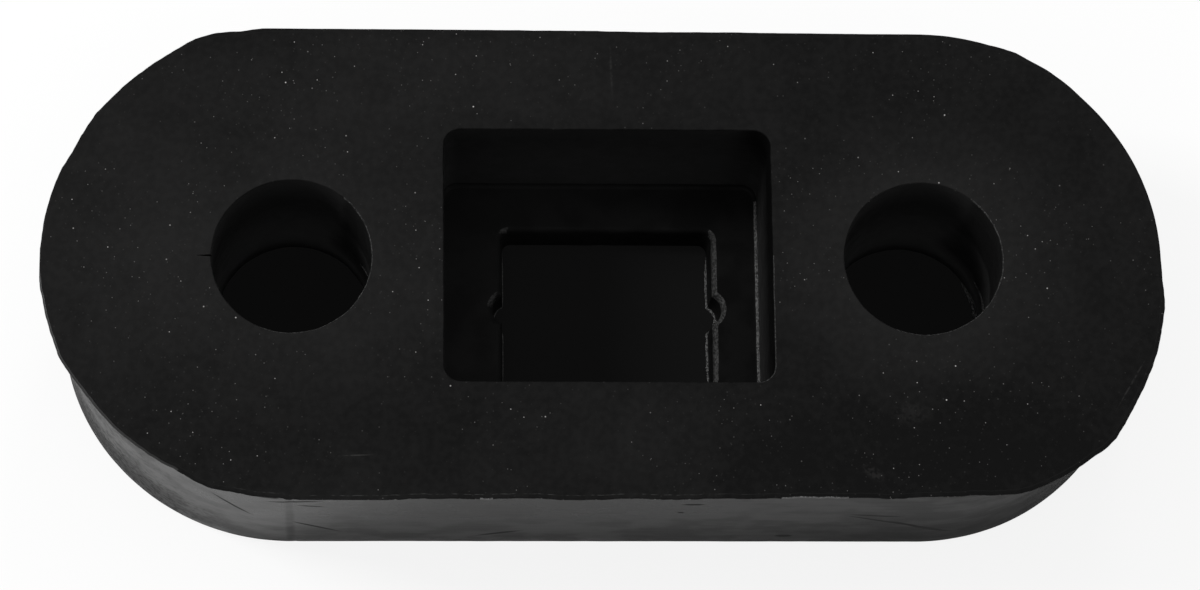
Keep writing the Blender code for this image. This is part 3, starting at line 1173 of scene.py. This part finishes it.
def polish(material, point, colour, finish):
    """Give an inner wall the sheen that the mould's core left on it."""
    tree = material.node_tree
    blotches = mottle(tree, point, 1.6 * MM, 3.0, 0.35, 0.65)
    roughness = between(tree, blotches, finish.inner_roughness - 0.03, finish.inner_roughness + 0.05)
    return coat(material, point, colour, roughness, finish.inner_specular, 0.0012 * MM, 0.003 * MM)


def inner_rubber(finish):
    """The dark walls of the pocket and the slit, paled deep down as painted light, and darker near the front
    face and on the lamp-lit right as painted shade.
    """
    material, tree, point = start_material("rubber_inner")
    x, _, z = axes(tree, point)
    blotches = mottle(tree, point, 1.6 * MM, 3.0, 0.35, 0.65)
    near_face = ramp(tree, z, 4.0 * MM, 16.0 * MM)
    right_side = ramp(tree, x, *PAINTED_SHADE_POCKET_SIDE)
    # Painted light deep down; painted shade near the face and on the lamp-lit right.
    unpainted = weighted_sum(tree, [(blotches, 0.06), (near_face, 0.74), (right_side, 0.36)])
    return polish(material, point, blend_colour(tree, unpainted, finish.deep, finish.rubber), finish)


def eye_rubber(finish):
    """The walls of the eyes, paler the less light reaches them, so that they look evenly dark."""
    material, tree, point = start_material("rubber_eye")
    x, _, z = axes(tree, point)
    # Painted light: between the two mouths the walls are paled, where little light reaches.
    near_face = ramp(tree, z, -3.0 * MM, 12.0 * MM, 0.0, 0.93)
    near_back = ramp(tree, z, 0.0, 2.2 * MM, 0.70, 0.0)
    unpainted = combine(tree, "MAXIMUM", near_face, near_back)
    low_lit = ramp(tree, z, 0.5 * MM, 4.6 * MM, 0.0, 0.885)
    lit = combine(tree, "MAXIMUM", low_lit, ramp(tree, z, 4.0 * MM, 9.5 * MM, 0.0, 0.962))
    # Painted shade: the right-hand walls, which the left lamp lights, keep the darker rubber colour.
    for start, end in PAINTED_SHADE_EYE_SIDES:
        beyond = ramp(tree, x, end + 2.8 * MM, end + 4.0 * MM, 1.0, 0.0)
        side = times(tree, ramp(tree, x, start, end), beyond)
        unpainted = combine(tree, "MAXIMUM", unpainted, times(tree, side, lit))
    return polish(material, point, blend_colour(tree, unpainted, finish.eye_painted_light, finish.rubber), finish)


def web_rubber(finish):
    """The web at the bottom of the pocket, dull and dark, paled as painted light in the pocket's shade, and
    a little darker on the lamp-lit right as painted shade.
    """
    material, tree, point = start_material("rubber_web")
    blotches = mottle(tree, point, 2.0 * MM, 3.0, 0.35, 0.65)
    # Painted shade towards the web's lamp-lit right.
    rightward = ramp(tree, axes(tree, point)[0], -10.0 * MM, 11.0 * MM)
    unpainted = weighted_sum(tree, [(blotches, 0.08), (rightward, 0.20), (1.0, 0.62)])
    colour = blend_colour(tree, unpainted, finish.deep, finish.rubber)
    roughness = between(tree, blotches, finish.roughness - 0.05, finish.roughness + 0.05)
    return coat(material, point, colour, roughness, finish.web_specular, 0.006 * MM, 0.010 * MM)


def cut_rubber(finish):
    """The lip's cut edge, torn and dull, with a few pale crumbs."""
    material, tree, point = start_material("rubber_cut")
    torn = mottle(tree, point, 0.3 * MM, 4.0, 0.40, 0.65)
    colour = blend_colour(tree, times(tree, torn, 0.5), finish.rubber, finish.bloom_and_painted_light)
    crumbs = mottle(tree, point, 0.22 * MM, 2.0, 0.64, 0.72)
    colour = blend_colour(tree, times(tree, crumbs, 0.8), colour, finish.dust)
    roughness = between(tree, torn, 0.75, 0.9)
    return coat(material, point, colour, roughness, finish.web_specular, 0.012 * MM, 0.020 * MM)


def worn_rubber(finish, name="rubber_worn_and_highlight", share=0.4):
    """A worn edge, rubbed grainy and, by its share, paler than the rubber round it; laid on the edges that
    face the left lamp, the paleness is partly wear and partly a painted highlight.
    """
    material, tree, point = start_material(name)
    grains = mottle(tree, point, 0.17 * MM, 3.0, 0.47, 0.58)
    colour = blend_colour(tree, times(tree, grains, share), finish.side_bloom_and_painted_light, finish.worn)
    roughness = between(tree, grains, 0.32, 0.45)
    return coat(material, point, colour, roughness, finish.worn_specular * share, 0.15 * MM, 0.060 * MM)


def torn_rubber(finish):
    """Torn flash, which catches the light more than a worn edge; its full paleness is partly torn rubber and
    partly a painted highlight.
    """
    return worn_rubber(finish, "rubber_torn_and_highlight", 1.0)


def pressed_rubber(finish):
    """The fine line that is pressed into the lip, paler here and there along the lower side."""
    material, tree, point = start_material("rubber_pressed")
    breaks = mottle(tree, point, 0.45 * MM, 5.0, 0.42, 0.66)
    x, y, _ = axes(tree, point)
    lower = ramp(tree, y, -18.4 * MM, -17.8 * MM, 1.0, 0.0)
    leftward = ramp(tree, x, 4.0 * MM, 14.0 * MM, 1.0, 0.0)
    pale = times(tree, times(tree, breaks, times(tree, lower, leftward)), 0.32)
    ground = blend_colour(tree, 0.5, finish.rubber, finish.bloom_and_painted_light)
    colour = blend_colour(tree, pale, ground, finish.worn)
    roughness = between(tree, breaks, 0.5, 0.65)
    return coat(material, point, colour, roughness, finish.specular, 0.008 * MM, 0.010 * MM)


# The rubber finishes by name, in the order of their material slots.
FINISHES = {
    "rubber_face": face_rubber,
    "rubber_side": side_rubber,
    "rubber_inner": inner_rubber,
    "rubber_eye": eye_rubber,
    "rubber_web": web_rubber,
    "rubber_cut": cut_rubber,
    "rubber_worn_and_highlight": worn_rubber,
    "rubber_torn_and_highlight": torn_rubber,
    "rubber_pressed": pressed_rubber,
}


def ready_rubber(name):
    """The rubber finish with this name, made once and shared by the pieces."""
    return bpy.data.materials.get(name) or FINISHES[name](bpy.context.scene.rubber_finish)


def matt_material(name, colour):
    """A matt material without reflection, its nodes and its shader."""
    material, tree, _ = start_material(name)
    shader = tree.nodes["Principled BSDF"]
    shader.inputs["Base Color"].default_value = colour
    shader.inputs["Roughness"].default_value = 0.9
    shader.inputs["Specular IOR Level"].default_value = 0.0
    return material, tree, shader


def make_floor(setup):
    """A pale floor that looks mostly plain white and keeps the hanger's soft shadow."""
    material, tree, shader = matt_material("pale_floor", setup.floor)
    white = add_node(tree, "ShaderNodeEmission", {"Color": (1.0, 1.0, 1.0, 1.0), "Strength": 1.0})
    ray = tree.nodes.new("ShaderNodeLightPath").outputs
    share = times(tree, ray["Is Camera Ray"], setup.floor_whiteness)
    inputs = {0: share, 1: shader.outputs[0], 2: white.outputs[0]}
    mixed = add_node(tree, "ShaderNodeMixShader", inputs)
    tree.links.new(mixed.outputs[0], tree.nodes["Material Output"].inputs["Surface"])
    bpy.ops.mesh.primitive_plane_add(size=setup.floor_width, location=(0.0, 0.0, -FLOOR_GAP))
    floor = bpy.context.active_object
    floor.name = "floor"
    floor.data.materials.append(material)


def make_painted_shade_sheet(sizes, tone):
    """A dark sheet of painted shade under the block, which shows only through the eyes and the window and
    glows faintly to set how dark it looks.
    """
    material, _, shader = matt_material("painted_shade_material", PAINTED_SHADE_COLOUR)
    shader.inputs["Emission Color"].default_value = (1.0, 1.0, 1.0, 1.0)
    shader.inputs["Emission Strength"].default_value = tone
    width = 2 * sizes.end_radius * PAINTED_SHADE_SHARE
    points = rounded_outline(sizes.eye_spacing + width, width, width / 2 - WELD)
    shape = bmesh.new()
    shape.faces.new([shape.verts.new((x, y, -FLOOR_GAP / 2)) for x, y in points])
    mesh = bpy.data.meshes.new("painted_shade_sheet")
    shape.to_mesh(mesh)
    shape.free()
    mesh.materials.append(material)
    place("painted_shade_sheet", mesh)


def make_world():
    """An even pale sky, which looks white to the camera and in reflections."""
    world = bpy.data.worlds.new("studio")
    bpy.context.scene.world = world
    world.use_nodes = True
    tree = world.node_tree
    background = tree.nodes["Background"]
    background.inputs["Color"].default_value = (1.0, 1.0, 1.0, 1.0)
    ray = tree.nodes.new("ShaderNodeLightPath").outputs
    seen = combine(tree, "ADD", ray["Is Camera Ray"], ray["Is Glossy Ray"])
    seen = combine(tree, "ADD", seen, ray["Is Transmission Ray"])
    tree.links.new(between(tree, seen, SKY_STRENGTH, 1.0), background.inputs["Strength"])


def make_lamp(name, place_at, aim_at, size, watts):
    """A square soft lamp that is aimed at a point."""
    light = bpy.data.lights.new(name, "AREA")
    light.size = size
    light.energy = watts
    lamp = bpy.data.objects.new(name, light)
    lamp.location = place_at
    lamp.rotation_euler = (Vector(aim_at) - Vector(place_at)).to_track_quat("-Z", "Y").to_euler()
    bpy.context.scene.collection.objects.link(lamp)


def make_camera(setup):
    """The camera over the lower edge of the front face, leaned and turned as the photograph was taken."""
    swing = setup.camera_swing
    tilt = setup.camera_tilt
    back = Vector((math.sin(swing) * math.cos(tilt), -math.sin(tilt), math.cos(swing) * math.cos(tilt)))
    right = Vector((0.0, 1.0, 0.0)).cross(back).normalized()
    up = back.cross(right)
    roll = setup.camera_roll
    across = math.cos(roll) * right + math.sin(roll) * up
    upward = -math.sin(roll) * right + math.cos(roll) * up
    aim = Vector((setup.aim_x, setup.aim_y, FRONT_Z))
    turned = Matrix((across, upward, back)).transposed()
    data = bpy.data.cameras.new("camera")
    data.lens = setup.camera_lens
    data.clip_start = 0.01
    camera = bpy.data.objects.new("camera", data)
    camera.matrix_world = Matrix.Translation(aim + back * setup.camera_distance) @ turned.to_4x4()
    bpy.context.scene.collection.objects.link(camera)
    bpy.context.scene.camera = camera


class HANGER_OT_stage(bpy.types.Operator):
    """Make the pale floor, the soft studio light and the camera"""

    bl_idname = "hanger.stage"
    bl_label = "Stage"

    def execute(self, context):
        setup = context.scene.stage_setup
        make_floor(setup)
        # A dark, faintly glowing sheet of painted shade under the block.
        make_painted_shade_sheet(context.scene.hanger_sizes, setup.painted_shade_glow)
        make_world()
        for lamp in LAMPS:
            make_lamp(*lamp)
        make_camera(setup)
        context.scene.view_settings.view_transform = "Standard"
        return {"FINISHED"}


class HANGER_PT_panel(bpy.types.Panel):
    """The hanger's tab in the sidebar"""

    bl_label = "Exhaust Hanger"
    bl_idname = "HANGER_PT_panel"
    bl_space_type = "VIEW_3D"
    bl_region_type = "UI"
    bl_category = "Hanger"

    def draw(self, context):
        layout = self.layout
        for operator in OPERATORS:
            layout.operator(operator.bl_idname)
        for title, holder in GROUPS:
            box = layout.box()
            box.label(text=title)
            values = getattr(context.scene, holder[0])
            for name in holder[1].__annotations__:
                box.prop(values, name)


OPERATORS = (HANGER_OT_stage, HANGER_OT_body, HANGER_OT_eye_flash, HANGER_OT_window_flash)
GROUPS = (
    ("Sizes", ("hanger_sizes", HangerSizes)),
    ("Finish", ("rubber_finish", RubberFinish)),
    ("Stage", ("stage_setup", StageSetup)),
)


def register():
    """Make the settings, the operators and the panel known to Blender."""
    for _, (holder, group) in GROUPS:
        bpy.utils.register_class(group)
        setattr(bpy.types.Scene, holder, bpy.props.PointerProperty(type=group))
    for operator in OPERATORS:
        bpy.utils.register_class(operator)
    bpy.utils.register_class(HANGER_PT_panel)


def unregister():
    """Take back what register made known."""
    bpy.utils.unregister_class(HANGER_PT_panel)
    for operator in reversed(OPERATORS):
        bpy.utils.unregister_class(operator)
    for _, (holder, group) in reversed(GROUPS):
        delattr(bpy.types.Scene, holder)
        bpy.utils.unregister_class(group)


def main():
    register()
    bpy.ops.hanger.stage()
    bpy.ops.hanger.body()
    bpy.ops.hanger.eye_flash()
    bpy.ops.hanger.window_flash()


if __name__ == "__main__":
    main()
